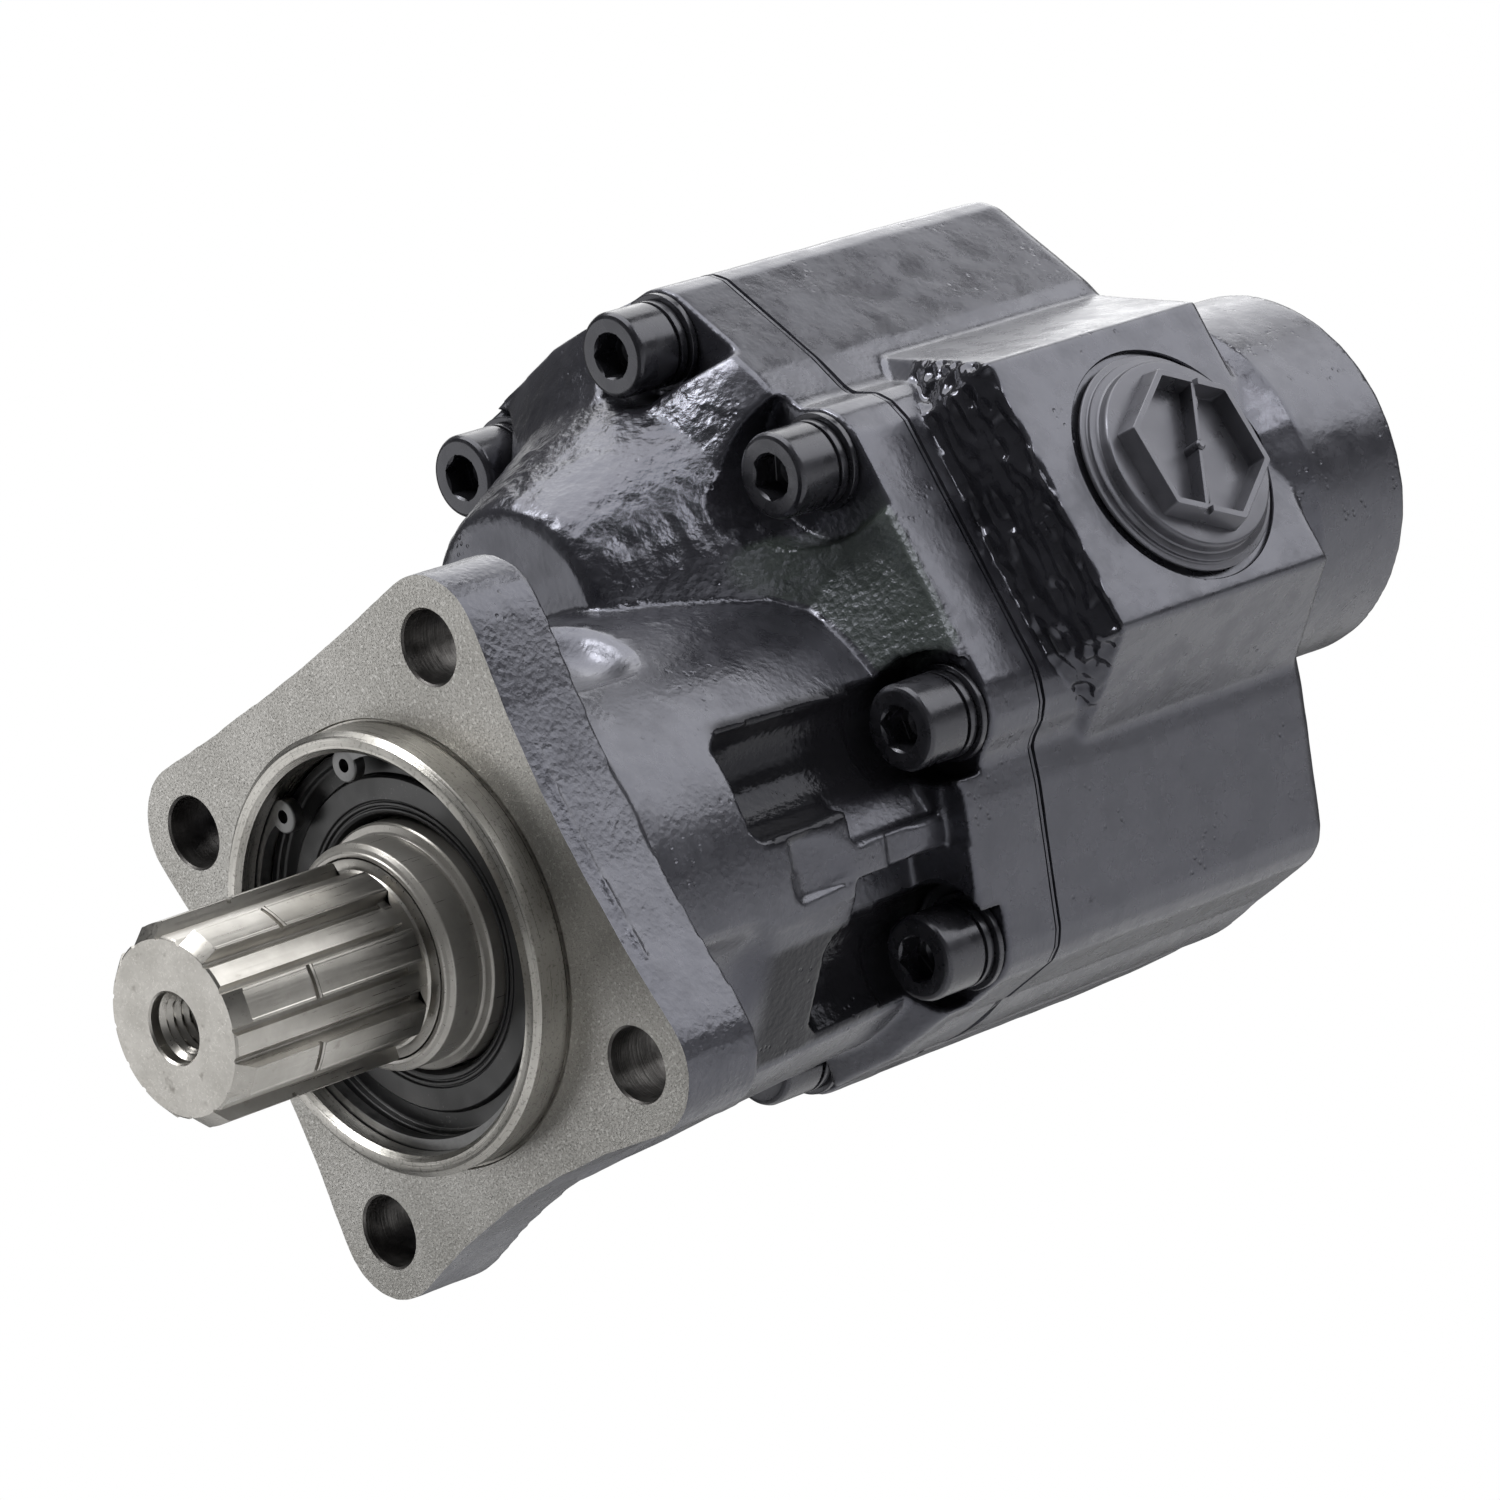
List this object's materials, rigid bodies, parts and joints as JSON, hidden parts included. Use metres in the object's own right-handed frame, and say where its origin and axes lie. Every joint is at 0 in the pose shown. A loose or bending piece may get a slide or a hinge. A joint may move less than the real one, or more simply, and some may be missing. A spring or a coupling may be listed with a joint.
{
  "type": "hydraulic gear pump",
  "caption": "Bi-rotational gear pump: four-bolt power take-off flange, splined drive shaft, oblong cast body with side and rear ports closed by plastic plugs.",
  "frame": {"origin": "centre of the mounting flange's front face, on the drive shaft's axis", "axes": "+Y back into the pump along both gear axes, +Z from the drive gear to the driven gear, +X to the right seen from the shaft end"},
  "size_m": [0.1658, 0.2681, 0.1496],
  "materials": {
    "black_paint": "glossy black paint on a rough casting, bare where machined",
    "ground_steel": "ground bright steel",
    "black_steel": "black oxide",
    "seal_rubber": "smooth black rubber",
    "spring_steel": "dark spring steel",
    "bronze": "turned bronze",
    "plug_plastic": "moulded black plastic"
  },
  "bodies": {
    "housing": {"front_cover": "black_paint", "rear_housing": "black_paint", "body_o_ring": "seal_rubber", "outer_shaft_seal": "seal_rubber", "inner_shaft_seal": "seal_rubber", "retaining_ring": "spring_steel", "front_drive_bush": "bronze", "front_driven_bush": "bronze", "rear_drive_bush": "bronze", "rear_driven_bush": "bronze", "front_pressure_plate": "bronze", "rear_pressure_plate": "bronze", "dowel_pin_left": "ground_steel", "dowel_pin_right": "ground_steel", "cap_screw_1": "black_steel", "cap_screw_2": "black_steel", "cap_screw_3": "black_steel", "cap_screw_4": "black_steel", "cap_screw_5": "black_steel", "cap_screw_6": "black_steel", "cap_screw_7": "black_steel", "cap_screw_8": "black_steel", "spring_washer_1": "black_steel", "spring_washer_2": "black_steel", "spring_washer_3": "black_steel", "spring_washer_4": "black_steel", "spring_washer_5": "black_steel", "spring_washer_6": "black_steel", "spring_washer_7": "black_steel", "spring_washer_8": "black_steel", "flat_washer_1": "black_steel", "flat_washer_2": "black_steel", "flat_washer_3": "black_steel", "flat_washer_4": "black_steel", "flat_washer_5": "black_steel", "flat_washer_6": "black_steel", "flat_washer_7": "black_steel", "flat_washer_8": "black_steel", "side_port_plug_left": "plug_plastic", "side_port_seal_left": "seal_rubber", "side_port_plug_right": "plug_plastic", "side_port_seal_right": "seal_rubber", "rear_port_plug_left": "plug_plastic", "rear_port_seal_left": "seal_rubber", "rear_port_plug_right": "plug_plastic", "rear_port_seal_right": "seal_rubber"},
    "drive_shaft": {"drive_gear_shaft": "ground_steel", "shaft_sleeve": "ground_steel"},
    "driven_shaft": {"driven_gear_shaft": "ground_steel"}
  },
  "joints": [
    {"name": "drive_spin", "type": "hinge", "parent": "housing", "child": "drive_shaft", "pos_m": [0, 0, 0], "axis": [0, 1, 0], "continuous": true},
    {"name": "driven_spin", "type": "hinge", "parent": "housing", "child": "driven_shaft", "pos_m": [0, 0, 0.0471], "axis": [0, 1, 0], "continuous": true}
  ],
  "couplings": [
    {"joint": "driven_spin", "follows": "drive_spin", "ratio": -1}
  ]
}
